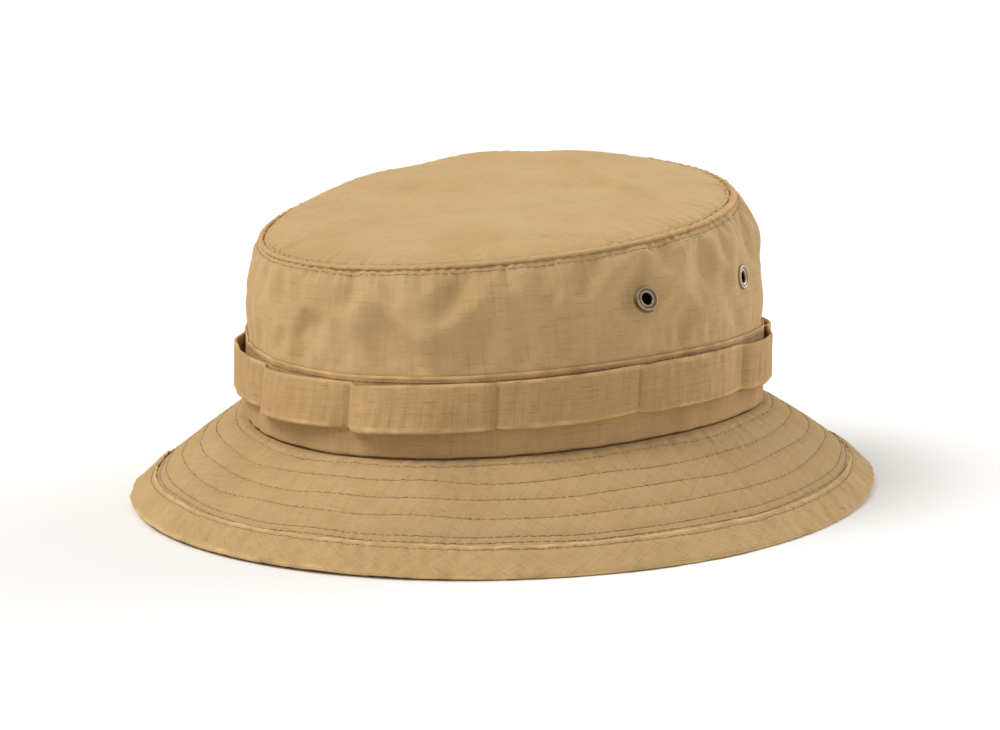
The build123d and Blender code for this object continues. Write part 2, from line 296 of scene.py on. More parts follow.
def row_wander(t, row):
    """How far a row at that distance strays from true, as a hand-fed row does."""
    return 0.4 * ripples(60, 6, (2, 12), 0.4, t, row)


def binding_relief(t, s):
    """Binding: follows the brim, with short slanting drag lines."""
    drag = ripples(51, 14, (60, 150), 0.55, t, s)
    slow = ripples(52, 8, (12, 40), 0.2, t, s)
    below = brim_relief(t, np.maximum(s, BINDING_ROW + 1.0))
    return 0.16 * drag + 0.2 * slow - 0.25 * hump(s - BINDING_ROW, 0.9) + 0.6 * below


STRAP_WIDTH = 14.5
STRAP_BASE = 9.0
STRAP_PLY = 1.1
# Each tack's angle in degrees, from the front round by the wearer's left, and the loop after it:
# its stand-off at the upper edge and at the lower edge, and how far it hangs below the tack, in mm.
TACKS = [
    (-87.0, 1.3, 4.4, 1.5), (-54.8, 0.7, 1.7, 0.1), (-24.3, 0.8, 2.2, 0.4), (8.0, 2.4, 2.6, 0.3),
    (37.5, 2.6, 3.2, 0.6), (67.0, 1.6, 3.0, 0.3), (96.5, 2.2, 3.6, 0.8), (126.0, 1.4, 2.4, 0.4),
    (155.5, 2.8, 3.4, 0.7), (185.0, 1.6, 3.0, 0.3), (214.5, 2.4, 2.6, 0.5), (244.0, 1.7, 4.2, 1.2),
]
LOOPS = len(TACKS)


def tack_angle(n):
    """Angle of a bar tack."""
    return math.radians(TACKS[n][0])


def from_tack(t, n):
    """Distance round the band from a bar tack."""
    return arc_from(t, tack_angle(n), CROWN_RADIUS)


def loops_of(t):
    """For each loop: where t lies inside it, and how far along it, from 0 to 1."""
    for n in range(LOOPS):
        start = tack_angle(n)
        span = (tack_angle((n + 1) % LOOPS) - start) % TURN
        p = ((t - start) % TURN) / span
        yield n, p < 1, np.clip(p, 0, 1)


def strap_offset(t, s):
    """Offset of the strap's back from the base band: nothing at a tack, bowed between tacks."""
    q = np.clip((s - STRAP_BASE) / STRAP_WIDTH, 0, 1)
    total = 0.0 * t + 0.0 * s
    for n, inside, p in loops_of(t):
        top, foot = TACKS[n][1:3]
        # The loop springs out quickly past its tack, and lies down towards the next one.
        bow = (1 - (1 - np.clip(p / 0.28, 0, 1)) ** 2.2) * np.clip((1 - p) / 0.42, 0, 1) ** 0.8
        total = total + np.where(inside, bow * (top * q + foot * (1 - q)), 0)
    return total


def strap_relief(t, s):
    """Strap: its bow, a slack surface, and a pinch at each tack."""
    relief = 0.22 * ripples(71, 9, (14, 45), 0.2, t, s) + 0.1 * ripples(72, 8, (60, 140), 0.5, t, s)
    pinch = 0.0
    for n in range(LOOPS):
        pinch = pinch + hump(from_tack(t, n), 1.1)
    return strap_offset(t, s) + relief * (1 - np.clip(pinch, 0, 1)) - 0.35 * pinch


def strap_level(t, s):
    """Height of the strap: each loop hangs a little lower after its tack, which draws it narrower."""
    level = 0.35 * ripples(73, 6, (2, 8), 0.0, t, 0.0)
    for n, inside, p in loops_of(t):
        level = level - np.where(inside, TACKS[n][3] * np.exp(-p / 0.5) * np.clip(p / 0.05, 0, 1), 0)
        drawn = 0.03 * hump(from_tack(t, n), 3.5)
        level = level - drawn * (s - STRAP_BASE - STRAP_WIDTH / 2)
    return s + level


# ---------------------------------------------------------------- cloth simulation

def sampled(field, across, up):
    """Smooth reading of rows and columns; across wraps round from 0 to 1, up is held in 0 to 1."""
    rows, columns = field.shape
    x = (across % 1.0) * columns
    y = np.clip(up, 0, 1) * (rows - 1)
    x, y = np.broadcast_arrays(x, y)
    x0, y0 = np.floor(x).astype(int), np.floor(y).astype(int)
    total = 0.0
    for i, wy in enumerate(spline_weights(y - y0)):
        row = np.clip(y0 + i - 1, 0, rows - 1)
        for j, wx in enumerate(spline_weights(x - x0)):
            total = total + wy * wx * field[row, (x0 + j - 1) % columns]
    return total


def spline_weights(f):
    """Weights of the four neighbours in a cubic B-spline."""
    return (
        (1 - f) ** 3 / 6, (3 * f**3 - 6 * f**2 + 4) / 6,
        (-3 * f**3 + 3 * f**2 + 3 * f + 1) / 6, f**3 / 6,
    )


def settled(start, faces, held, excess, bending, frames=26):
    """Lets a panel, cut a little too full and sewn at the held points, buckle into its folds."""
    scale = 0.01
    mesh = bpy.data.meshes.new("panel_at_rest")
    mesh.from_pydata((start.reshape(-1, 3) * scale).tolist(), [], faces.tolist())
    obj = new_object("panel_at_rest", mesh)
    obj.vertex_groups.new(name="sewn").add(held.tolist(), 1.0, "REPLACE")
    cloth = obj.modifiers.new("cloth", "CLOTH")
    cloth.settings.quality = 6
    cloth.settings.vertex_group_mass = "sewn"
    cloth.settings.tension_stiffness = cloth.settings.compression_stiffness = 15.0
    cloth.settings.shear_stiffness = 5.0
    cloth.settings.bending_stiffness = bending
    cloth.settings.shrink_min = -excess
    cloth.settings.effector_weights.gravity = 0.0
    cloth.collision_settings.use_collision = False
    cloth.point_cache.frame_end = frames
    for step in range(1, frames + 1):
        bpy.context.scene.frame_set(step)
    seen = obj.evaluated_get(bpy.context.evaluated_depsgraph_get())
    flat = np.empty(len(mesh.vertices) * 3)
    seen.data.vertices.foreach_get("co", flat)
    bpy.context.scene.frame_set(1)
    bpy.data.objects.remove(obj)
    return flat.reshape(start.shape) / scale


WALL_EXCESS = 0.018
FOLD_DEPTH = 1.6


def folds_of_wall(columns, rows):
    """Offsets of the crown wall's folds between the band and the top seam, as rows and columns."""
    t = round_hat(columns)[None, :]
    s = np.linspace(BAND_WIDTH, WALL_LENGTH, rows)[:, None]
    nudge = crown_slack(s) * (
        0.5 * ripples(5, 12, (3, 14), 0.1, t, s) + 0.3 * ripples(6, 12, (14, 50), 0.2, t, s)
        + creases(wall_nudges, t, s, CROWN_RADIUS)
    )
    start = place(wall_surface, t, s, nudge)
    i, j = np.meshgrid(np.arange(rows - 1), np.arange(columns), indexing="ij")
    ahead = (j + 1) % columns
    low, high = i * columns, (i + 1) * columns
    faces = np.stack([low + j, low + ahead, high + ahead, high + j], -1)
    edge = np.arange(2 * columns)
    held = np.concatenate([edge, edge + (rows - 2) * columns])
    still = place(wall_surface, t, s, 0 * nudge)
    way = place(wall_surface, t, s, 0 * nudge + 1) - still
    moved = settled(start, faces.reshape(-1, 4), held, WALL_EXCESS, bending=1.0) - still
    folds = (moved * way).sum(-1)
    # The wall's own outline stays; only the folds are taken, a little deeper than they settled.
    return (folds - folds.mean(1, keepdims=True)) * FOLD_DEPTH


wall_nudges = scattered_creases(13, 30, (32, 62), (20, 70), (12, 30), (4.0, 8.0), (0.5, 1.3))
WALL_FOLDS = folds_of_wall(360, 30)

# ---------------------------------------------------------------- meshes

def hat_mesh(name, points, faces, uvs=None, marks=None):
    """Mesh object from points in mm, face index tuples, a UV for each face corner and point marks."""
    mesh = bpy.data.meshes.new(name)
    mesh.from_pydata((np.asarray(points).reshape(-1, 3) * MM).tolist(), [], faces)
    if uvs is not None:
        layer = mesh.uv_layers.new(name="cloth_grain")
        layer.data.foreach_set("uv", (np.asarray(uvs).reshape(-1) * MM).astype(np.float32))
    for mark, values in (marks or {}).items():
        attribute = mesh.attributes.new(mark, "FLOAT", "POINT")
        attribute.data.foreach_set("value", np.asarray(values).reshape(-1).astype(np.float32))
    mesh.shade_smooth()
    return new_object(name, mesh)


def layer_section(begin, end, rows, back, face, fold=0.35):
    """Closed section of a cloth layer: up its face, over a rounded edge, down its back."""
    s = np.linspace(begin, end, rows)
    middle, reach = (back + face) / 2, min(fold, (face - back) * 0.5)
    s_loop = np.concatenate([s, [end + reach], s[::-1], [begin - reach]])
    d_loop = np.concatenate([np.full(rows, face), [middle], np.full(rows, back), [middle]])
    return s_loop, d_loop


def strip_grain(t, run):
    """Grain of a strip cut along its length: distance round, distance up."""
    return np.stack([np.interp(t, walk, walked) + 0 * run, run + 0 * t], -1)


# Share of a full turn that the brim's cone covers when it is laid flat.
BRIM_UNROLLED = 0.76


def brim_grain(t, run):
    """Grain of the brim, cut flat and straight to the front: the cone is unrolled."""
    turned = (t - BACK - math.pi) * BRIM_UNROLLED
    radius = (BRIM_RADIUS / BRIM_UNROLLED) + (BRIM_SLANT / 2 - run)
    return np.stack([radius * np.sin(turned), radius * np.cos(turned)], -1)


def bias_grain(t, run):
    """Grain of a strip cut on the bias, at 45 degrees."""
    straight = strip_grain(t, run)
    return (straight + straight[..., ::-1] * (-1, 1)) / math.sqrt(2)


def sewn_ring(
    name, surface, section, relief, around, grain=strip_grain, holes=(), level=None, wear_and_highlight=None
):
    """A closed layer of cloth swept round the hat, from its section and its relief."""
    s_loop, d_loop = section
    rows = len(s_loop)
    t = round_hat(around)[None, :]
    s = s_loop[:, None] + 0 * t
    if level is not None:
        s = level(t, s)
    points = place(surface, t, s, d_loop[:, None] + relief(t, s))
    run = np.concatenate([s_loop, s_loop[:1]])[:, None]
    t_closed = np.append(t, BACK + TURN)[None, :]
    uv = grain(t_closed, run)
    i, j = np.meshgrid(np.arange(rows), np.arange(around), indexing="ij")
    keep = np.ones(rows * around, bool)
    extra = []
    if holes:
        middle_s = (s + np.roll(s, -1, 0)) / 2
        middle_t = t + math.pi / around
        for angle, height, radius in holes:
            x = arc_from(middle_t, angle, CROWN_RADIUS)
            keep &= ~((x**2 + (middle_s - height) ** 2) < radius**2).reshape(-1)
        extra = hole_walls(keep.reshape(rows, around), rows // 2 - 1, rows, around)
    corner_i = np.stack([i, i, i + 1, i + 1], -1).reshape(-1, 4)[keep]
    corner_j = np.stack([j, j + 1, j + 1, j], -1).reshape(-1, 4)[keep]
    faces = ((corner_i % rows) * around + corner_j % around).tolist()
    uvs = uv[corner_i, corner_j]
    if extra:
        faces += extra
        uvs = np.concatenate([uvs, np.zeros((len(extra), 4, 2))])
    marks = {"wear_and_highlight": 0 * s if wear_and_highlight is None else wear_and_highlight(t, s) + 0 * s}
    return hat_mesh(name, points, faces, uvs, marks)


def hole_walls(grid_keep, half, rows, around):
    """Faces that join the two sides of a layer round a cut hole."""
    walls = []
    cut = np.argwhere(~grid_keep[:half])
    for i, j in cut.tolist():
        for di, dj, a, b in ((-1, 0, (0, 0), (0, 1)), (0, 1, (0, 1), (1, 1)),
                             (1, 0, (1, 1), (1, 0)), (0, -1, (1, 0), (0, 0))):
            if grid_keep[i + di, (j + dj) % around]:
                first, second = (i + a[0], j + a[1]), (i + b[0], j + b[1])
                corners = [second, first] + [(2 * half - p[0], p[1]) for p in (first, second)]
                walls.append(tuple((p[0] % rows) * around + p[1] % around for p in corners))
    return walls


def shell(name, outer, inner, grain, marks=None):
    """A closed piece of cloth from matching grids of points on its outside and its inside."""
    n, m = outer.shape[:2]
    index = np.arange(n * m).reshape(n, m)
    corners = np.stack([index[:-1, :-1], index[:-1, 1:], index[1:, 1:], index[1:, :-1]], -1)
    corners = corners.reshape(-1, 4)
    rim = np.concatenate([index[0, :], index[1:, -1], index[-1, -2::-1], index[-2:0:-1, 0]])
    after = np.roll(rim, -1)
    back = n * m
    walls = np.stack([after, rim, rim + back, after + back], -1)
    faces = np.concatenate([corners, corners[:, ::-1] + back, walls])
    flat = np.concatenate([grain.reshape(-1, 2)] * 2)
    points = np.concatenate([outer.reshape(-1, 3), inner.reshape(-1, 3)])
    spread = {mark: np.concatenate([v.reshape(-1)] * 2) for mark, v in (marks or {}).items()}
    return hat_mesh(name, points, faces.tolist(), flat[faces], spread)


def finish_piece(obj, material, slot, *nodes, cut=None, area=None):
    """Dresses a finished piece and puts it in the frame; cut is its flat width and length in mm, and is not
    used.
    """
    obj.data.materials.clear()
    obj.data.materials.append(material)
    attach(obj, "hat")
    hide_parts(*nodes)
    return obj


# ---------------------------------------------------------------- materials

def linear(code):
    """sRGB hex to linear RGBA."""
    parts = [int(code[n:n + 2], 16) / 255 for n in (1, 3, 5)]
    return tuple(c / 12.92 if c <= 0.04045 else ((c + 0.055) / 1.055) ** 2.4 for c in parts) + (1.0,)


def add(tree, kind, settings=None, **inputs):
    """Adds a node with its settings and links.

    Inputs are named with _ for a space, or in_N for socket N. A socket given is linked, and a node
    given is linked from its first output.
    """
    made = tree.nodes.new(kind)
    for key, value in (settings or {}).items():
        setattr(made, key, value)
    for key, value in inputs.items():
        socket = made.inputs[int(key[3:])] if key.startswith("in_") else made.inputs[key.replace("_", " ")]
        if isinstance(value, bpy.types.Node):
            value = value.outputs[0]
        if isinstance(value, bpy.types.NodeSocket):
            tree.links.new(value, socket)
        else:
            socket.default_value = value
    return made


TIMES, TIMES_PLUS = {"operation": "MULTIPLY"}, {"operation": "MULTIPLY_ADD"}
BLEND = {"data_type": "RGBA"}
SMOOTH = {"interpolation_type": "SMOOTHSTEP"}


def brightened(colour, by):
    """A linear colour times a number."""
    return tuple(min(1, c * by) for c in colour[:3]) + (1.0,)


def blank_finish(name):
    """A new material, its empty tree and where a point is on the object."""
    material = bpy.data.materials.new(name)
    material.use_nodes = True
    tree = material.node_tree
    tree.nodes.clear()
    return material, tree, add(tree, "ShaderNodeTexCoord").outputs["Object"]


def slubs(tree, grain, along, across, detail):
    """Thick and thin places of yarn, drawn out by these lengths in metres."""
    drawn = add(tree, "ShaderNodeMapping", Vector=grain, Scale=(1 / along, 1 / across, 1.0))
    return add(tree, "ShaderNodeTexNoise", Vector=drawn, Scale=1.0, Detail=detail)


def ribs(tree, along, turns):
    """Rounded ribs across a direction of the cloth."""
    turned = add(tree, "ShaderNodeMath", TIMES, in_0=along, in_1=turns)
    return add(tree, "ShaderNodeMath", {"operation": "SINE"}, in_0=turned)


def raised_grid(tree, grain, size):
    """Ripstop's thick threads: 1 on the lines of a square grid."""
    cell = add(tree, "ShaderNodeVectorMath", {"operation": "SCALE"}, in_0=grain, in_3=1 / size)
    cell = add(tree, "ShaderNodeVectorMath", {"operation": "FRACTION"}, in_0=cell)
    cell = add(tree, "ShaderNodeVectorMath", {"operation": "SUBTRACT"}, in_0=cell, in_1=(0.5, 0.5, 0.5))
    cell = add(tree, "ShaderNodeVectorMath", {"operation": "ABSOLUTE"}, in_0=cell)
    sides = add(tree, "ShaderNodeSeparateXYZ", Vector=cell).outputs
    line = add(tree, "ShaderNodeMath", {"operation": "MAXIMUM"}, in_0=sides[0], in_1=sides[1])
    return add(tree, "ShaderNodeMapRange", SMOOTH, Value=line, From_Min=0.43, From_Max=0.485)


def woven(
    name, light, dark, pattern, grid=5.0, thread=0.9, sheen=0.35, rough=0.86, bump=0.28, fleck=0.5
):
    """Cotton cloth. pattern is ripstop (a raised thread every grid mm), twill or satin."""
    light, dark = linear(light), linear(dark)
    material, tree, place_in = blank_finish(name)
    grain = add(tree, "ShaderNodeUVMap", {"uv_map": "cloth_grain"})
    u, v = add(tree, "ShaderNodeSeparateXYZ", Vector=grain).outputs[:2]
    turns = TURN / (thread * MM)
    if pattern == "twill":
        slant = add(tree, "ShaderNodeMath", {"operation": "ADD"}, in_0=u, in_1=v)
        weave = ribs(tree, slant, turns * 0.7)
    elif pattern == "satin":
        weave = ribs(tree, v, turns)
    else:
        weave = add(tree, "ShaderNodeMath", TIMES, in_0=ribs(tree, u, turns), in_1=ribs(tree, v, turns))
    yarn = add(
        tree, "ShaderNodeMath", {"operation": "ADD"},
        in_0=slubs(tree, grain, 0.012, 0.0009, 2.0), in_1=slubs(tree, grain, 0.0009, 0.012, 2.0),
    )
    mottle = add(tree, "ShaderNodeTexNoise", Vector=place_in, Scale=1 / 0.030, Detail=4.0, Roughness=0.55)
    lint = add(tree, "ShaderNodeTexNoise", Vector=place_in, Scale=1 / 0.0011, Detail=3.0, Roughness=0.7)
    tone = add(tree, "ShaderNodeMath", TIMES_PLUS, in_0=mottle, in_1=1.1, in_2=0.05)
    uneven = add(tree, "ShaderNodeMath", {"operation": "SUBTRACT"}, in_0=yarn, in_1=1.0)
    tone = add(tree, "ShaderNodeMath", TIMES_PLUS, in_0=uneven, in_1=fleck, in_2=tone)
    tone = add(tree, "ShaderNodeMath", TIMES_PLUS, in_0=weave, in_1=0.05, in_2=tone)
    # Thin places in the weft show as short dark dashes along the cloth.
    thin = slubs(tree, grain, 0.0065, 0.0007, 1.0)
    dash = add(tree, "ShaderNodeMapRange", SMOOTH, Value=thin, From_Min=0.64, From_Max=0.76)
    tone = add(tree, "ShaderNodeMath", TIMES_PLUS, in_0=dash, in_1=-1.3 * fleck, in_2=tone)
    height = add(tree, "ShaderNodeMath", TIMES, in_0=yarn, in_1=0.45)
    height = add(tree, "ShaderNodeMath", TIMES_PLUS, in_0=weave, in_1=0.35, in_2=height)
    if pattern == "ripstop":
        cord = raised_grid(tree, grain, grid * MM)
        patch = add(tree, "ShaderNodeTexNoise", Vector=place_in, Scale=1 / 0.011, Detail=2.0)
        shown = add(tree, "ShaderNodeMapRange", Value=patch, From_Min=0.45, From_Max=0.7)
        broken = add(tree, "ShaderNodeMath", TIMES, in_0=cord, in_1=shown)
        tone = add(tree, "ShaderNodeMath", TIMES_PLUS, in_0=broken, in_1=-0.42, in_2=tone)
        height = add(tree, "ShaderNodeMath", TIMES_PLUS, in_0=cord, in_1=0.55, in_2=height)
    height = add(tree, "ShaderNodeMath", TIMES_PLUS, in_0=lint, in_1=0.35, in_2=height)
    dyed = add(tree, "ShaderNodeMix", BLEND, in_0=tone, in_6=dark, in_7=light).outputs[2]
    # Folded edges and the welt's outer half are painted paler here: partly rubbed nap, partly a painted
    # highlight.
    wear_and_highlight = add(tree, "ShaderNodeAttribute", {"attribute_name": "wear_and_highlight"}).outputs["Fac"]
    patchy_wear_and_highlight = add(tree, "ShaderNodeMath", TIMES_PLUS, in_0=lint, in_1=0.8, in_2=0.2)
    worn_and_highlit = add(tree, "ShaderNodeMath", TIMES, in_0=wear_and_highlight, in_1=patchy_wear_and_highlight)
    pale = brightened(light, 1.55)
    shader = add(
        tree, "ShaderNodeBsdfPrincipled",
        Base_Color=add(tree, "ShaderNodeMix", BLEND, in_0=worn_and_highlit, in_6=dyed, in_7=pale).outputs[2],
        Roughness=rough, IOR=1.5, Specular_IOR_Level=0.3,
        Sheen_Weight=sheen, Sheen_Roughness=0.5, Sheen_Tint=brightened(light, 2.0),
        Normal=add(tree, "ShaderNodeBump", Strength=bump, Distance=0.0006, Height=height),
    )
    add(tree, "ShaderNodeOutputMaterial", Surface=shader)
    return material


def spun_thread(name, code):
    """Spun polyester thread: soft, slightly shiny, with its twist as fine slanting bumps, and painted shade
    at each stitch's ends.
    """
    material, tree, place_in = blank_finish(name)
    light = linear(code)
    twist = add(tree, "ShaderNodeTexNoise", Vector=place_in, Scale=1 / 0.0004, Detail=2.0)
    patch = add(tree, "ShaderNodeTexNoise", Vector=place_in, Scale=1 / 0.004, Detail=2.0)
    spun = add(tree, "ShaderNodeMix", BLEND, in_0=patch, in_6=brightened(light, 0.75), in_7=light).outputs[2]
    # Painted shade: a stitch is darkened at its ends, where it dives into the needle holes and lies in their
    # shade.
    needle_hole_shade = add(tree, "ShaderNodeAttribute", {"attribute_name": "needle_hole_shade"}).outputs["Fac"]
    painted_hole_shade = brightened(light, 0.36)
    shader = add(
        tree, "ShaderNodeBsdfPrincipled",
        Base_Color=add(tree, "ShaderNodeMix", BLEND, in_0=needle_hole_shade, in_6=spun, in_7=painted_hole_shade).outputs[2],
        Roughness=0.6, IOR=1.5, Sheen_Weight=0.2, Sheen_Roughness=0.4,
        Normal=add(tree, "ShaderNodeBump", Strength=0.5, Distance=0.0002, Height=twist),
    )
    add(tree, "ShaderNodeOutputMaterial", Surface=shader)
    return material


def antiqued_brass(name, bright, dull):
    """Brass blackened in a bath and tumbled: dark in its hollows, rubbed brighter on its rim."""
    material, tree, place_in = blank_finish(name)
    stain = add(tree, "ShaderNodeTexNoise", Vector=place_in, Scale=1 / 0.0016, Detail=4.0, Roughness=0.6)
    rub = add(tree, "ShaderNodeAttribute", {"attribute_name": "wear_and_highlight"}).outputs["Fac"]
    stained = add(tree, "ShaderNodeMath", TIMES_PLUS, in_0=stain, in_1=0.6, in_2=-0.2)
    amount = add(tree, "ShaderNodeMath", TIMES_PLUS, in_0=rub, in_1=0.75, in_2=stained)
    dull, bright = linear(dull), linear(bright)
    shader = add(
        tree, "ShaderNodeBsdfPrincipled",
        Base_Color=add(tree, "ShaderNodeMix", BLEND, in_0=amount, in_6=dull, in_7=bright).outputs[2],
        Metallic=1.0, Roughness=add(tree, "ShaderNodeMath", TIMES_PLUS, in_0=stain, in_1=0.25, in_2=0.28),
        Normal=add(tree, "ShaderNodeBump", Strength=0.15, Distance=0.0001, Height=stain),
    )
    add(tree, "ShaderNodeOutputMaterial", Surface=shader)
    return material


# Ripstop cotton, piece dyed tan: matt, with a raised thread every 5 mm and slubby yarn. The real
# yarns are about 0.25 mm apart; they are drawn at 0.9 mm, the finest that shows.
crown_cloth = woven("ripstop_cotton_crown", "#c5a577", "#ab8957", "ripstop")
brim_cloth = woven("ripstop_cotton_brim", "#c1a172", "#a88656", "ripstop", fleck=0.6)
band_cloth = woven("ripstop_cotton_band", "#bb9868", "#a07d4f", "ripstop", bump=0.25)
strap_cloth = woven("ripstop_cotton_loop_strip", "#bd9b6b", "#a17e50", "ripstop", fleck=0.7)
binding_cloth = woven("ripstop_cotton_binding", "#c5a474", "#a98856", "ripstop", fleck=0.65)
# Cotton twill, washed soft: fine slanting ribs, no raised grid.
sweat_cloth = woven("cotton_twill_sweatband", "#b5966a", "#987748", "twill", thread=1.1)
# Cotton bias tape over the raw seam.
tape_cloth = woven("cotton_bias_tape", "#ae8c5c", "#937044", "twill", thread=1.3)
# Needled interlining between the brim's two faces.
felt_cloth = woven("needled_interlining", "#bdb7a8", "#a8a294", "satin", thread=1.6)
# Woven polyester satin, blank: off-white with a faint crosswise rib and a soft shine.
label_cloth = woven(
    "polyester_satin_label", "#e9e4d8", "#d6cfbf", "satin", thread=0.7, rough=0.5, fleck=0.15
)
# Spun polyester thread, a shade darker than the cloth, with painted shade at each stitch's ends: its rows
# read as fine dark dashes.
thread_tan = spun_thread("spun_polyester_thread", "#b08f60")
# Stamped brass, blackened and tumbled: dark hollows and a rubbed, brighter rim.
eyelet_brass = antiqued_brass("antiqued_brass_eyelet", "#c0a98d", "#4f4234")
washer_brass = antiqued_brass("antiqued_brass_washer", "#9a8358", "#3a2f1f")


# ---------------------------------------------------------------- the cloth of the hat

DETAIL = 1.0


def count(full):
    """Number of steps for a full-detail count."""
    return int(full * DETAIL)


VENT_HOLE = 3.3
BAND_PLY, CROWN_PLY, GAP = 0.8, 0.6, 0.05
CROWN_FACE = -BAND_PLY - GAP
CROWN_BACK = CROWN_FACE - CROWN_PLY
SWEAT_BACK, SWEAT_FACE = -1.6, -2.8
BRIM_PLY, FELT_PLY = 0.6, 0.85
FELT_FACE = -BRIM_PLY - GAP
FELT_BACK = FELT_FACE - FELT_PLY
LOWER_FACE = FELT_BACK - GAP
LOWER_BACK = LOWER_FACE - BRIM_PLY


def whole_wall_relief(t, s):
    """Crown relief above the band's fold, handed over to the band's own relief below it."""
    above = np.clip(s - BAND_WIDTH, 0, None)
    return band_relief(t, np.minimum(s, BAND_WIDTH)) * np.exp(-above / 6.0) + crown_relief(t, s)


holes = [(math.radians(angle), height, VENT_HOLE) for angle, height in VENTS.values()]
finish_piece(
    sewn_ring(
        "crown_wall", wall_surface, layer_section(GAP, WALL_LENGTH, count(64), CROWN_BACK, CROWN_FACE),
        whole_wall_relief, count(700), holes=holes,
    ),
    crown_cloth, "crown_cloth", "crown_side_panel", cut=(600, 72), area=586 * 69,
)


def edge_wear_and_highlight(*edges):
    """Wear and a painted highlight on the given edges of a strip: the nap is rubbed, and the folded edges
    are painted paler where they catch the light.
    """
    def wear_and_highlight(t, s):
        """How worn the cloth is, and how much highlight is painted on it, from 0 to 1."""
        worn_and_highlit = sum(hump(s - edge, 0.7) for edge in edges)
        return np.clip(worn_and_highlit * (0.6 + 0.4 * ripples(91, 8, (9, 70), 0.1, t, s)), 0, 1)
    return wear_and_highlight


finish_piece(
    sewn_ring(
        "folded_base_band", wall_surface, layer_section(GAP, BAND_WIDTH, count(30), -BAND_PLY, 0.0),
        band_relief, count(700), wear_and_highlight=edge_wear_and_highlight(BAND_WIDTH),
    ),
    band_cloth, "band_cloth", "base_band", cut=(606, 27), area=600 * 26,
)
finish_piece(
    sewn_ring(
        "loop_strip", wall_surface,
        layer_section(STRAP_BASE, STRAP_BASE + STRAP_WIDTH, count(24), 0.1, 0.1 + STRAP_PLY, fold=0.5),
        strap_relief, count(1000), level=strap_level,
        wear_and_highlight=edge_wear_and_highlight(STRAP_BASE, STRAP_BASE + STRAP_WIDTH),
    ),
    strap_cloth, "loop_webbing", "foliage_loop_band", cut=(640, 15), area=620 * 14.5,
)


def top_point(p, q, sink=0.0):
    """Point of the domed top. p and q run from -1 to 1 over its oval, left-right and front-back."""
    angle, share = np.arctan2(q, p), np.clip(np.hypot(p, q), 0, 1)
    rim = ring_point(TOP, angle)
    middle = np.array([TOP["shift"][0], TOP["shift"][1], TOP["z"]])
    point = middle + (rim - middle) * share[..., None]
    x, y = p * TOP["b"], q * TOP["a"]
    pick = np.random.default_rng(81)
    sag = 0.0
    for _ in range(12):
        length, turned = pick.uniform(22, 75), pick.uniform(0, TURN)
        phase = pick.uniform(0, TURN)
        sag = sag + np.cos(TURN / length * (x * math.cos(turned) + y * math.sin(turned)) + phase)
    inside = (1 - share) * TOP["b"]
    gather = np.exp(-inside / 6.0) * np.clip(inside / 1.2, 0, 1)
    gather = ripples(82, 14, (50, 130), 0.0, angle, 0.0) * gather
    fold = 0.0
    for x0, y0, tilt, length, width, rise in TOP_FOLDS:
        c, k = math.cos(math.radians(tilt)), math.sin(math.radians(tilt))
        along, across = (x - x0) * c + (y - y0) * k, -(x - x0) * k + (y - y0) * c
        ridge = hump(across, width) - 0.7 * hump(across + 1.5 * width, 1.3 * width)
        fold = fold + rise * hump(along, length) * ridge
    slack = np.clip((1 - share**2) * 3, 0, 1)
    puff = 4.7 + 5.2 * np.clip(np.cos(angle - 2.75), 0, 1) ** 1.2
    dome = (3.6 + (puff - 3.6) * share**2) * (1 - share**7)
    lift = dome + slack * (0.3 * sag + fold) + 0.4 * gather - 0.6 - sink
    return point + lift[..., None] * np.array([0.0, 0.0, 1.0])


# Folds of the top: middle, tilt in degrees, length, width and rise.
TOP_FOLDS = [
    (23, 40, -33, 26, 3.5, 1.1), (48, -8, -20, 26, 6, -0.9), (-20, 24, 30, 40, 9, 0.9),
    (8, -35, 10, 30, 7, 0.7), (-40, -22, 140, 22, 6, 0.8), (58, -38, 30, 14, 3, 0.6),
]
side = np.linspace(-1, 1, count(180))
flat_p, flat_q = np.meshgrid(side, side, indexing="xy")
disc_p = flat_p * np.sqrt(1 - flat_q**2 / 2)
disc_q = flat_q * np.sqrt(1 - flat_p**2 / 2)
top_grain = np.stack([disc_p * TOP["b"], disc_q * TOP["a"]], -1)
finish_piece(
    shell(
        "crown_top", top_point(disc_p, disc_q), top_point(disc_p, disc_q, CROWN_PLY), top_grain,
        {"wear_and_highlight": 0 * disc_p},
    ),
    crown_cloth, "crown_cloth", "crown_top_panel",
    cut=(2 * TOP["b"] + 4, 2 * TOP["a"] + 4), area=math.pi * TOP["b"] * TOP["a"],
)


def tube_ring(name, surface, s, d, relief, radius, around, sides, swell, grain=bias_grain):
    """A corded fold that runs round the hat; swell(t) changes its radius."""
    t = round_hat(around)[None, :]
    turned = (np.arange(sides) * TURN / sides)[:, None]
    reach = radius * (1 + swell(t))
    at_s, at_d = s + reach * np.cos(turned), d + reach * np.sin(turned)
    points = place(surface, t + 0 * at_s, at_s, at_d + relief(t, s + 0 * at_s))
    t_closed = np.append(t, BACK + TURN)[None, :]
    run = (np.arange(sides + 1) * TURN / sides * radius)[:, None]
    uv = grain(t_closed, run)
    i, j = np.meshgrid(np.arange(sides), np.arange(around), indexing="ij")
    corner_i = np.stack([i, i + 1, i + 1, i], -1).reshape(-1, 4)
    corner_j = np.stack([j, j, j + 1, j + 1], -1).reshape(-1, 4)
    faces = (corner_i % sides) * around + corner_j % around
    # The cord's outer half is painted paler: a painted highlight on its crest.
    marks = {"wear_and_highlight": np.clip(np.sin(turned), 0, 1) ** 3 * 0.5 + 0 * t}
    return hat_mesh(name, points, faces.tolist(), uv[corner_i, corner_j], marks)


def welt_swell(t):
    """How the corded fold thickens and thins."""
    close, slow = ripples(83, 12, (70, 190), 0.0, t, 0.0), ripples(84, 8, (10, 40), 0.0, t, 0.0)
    return 0.1 * close + 0.08 * slow


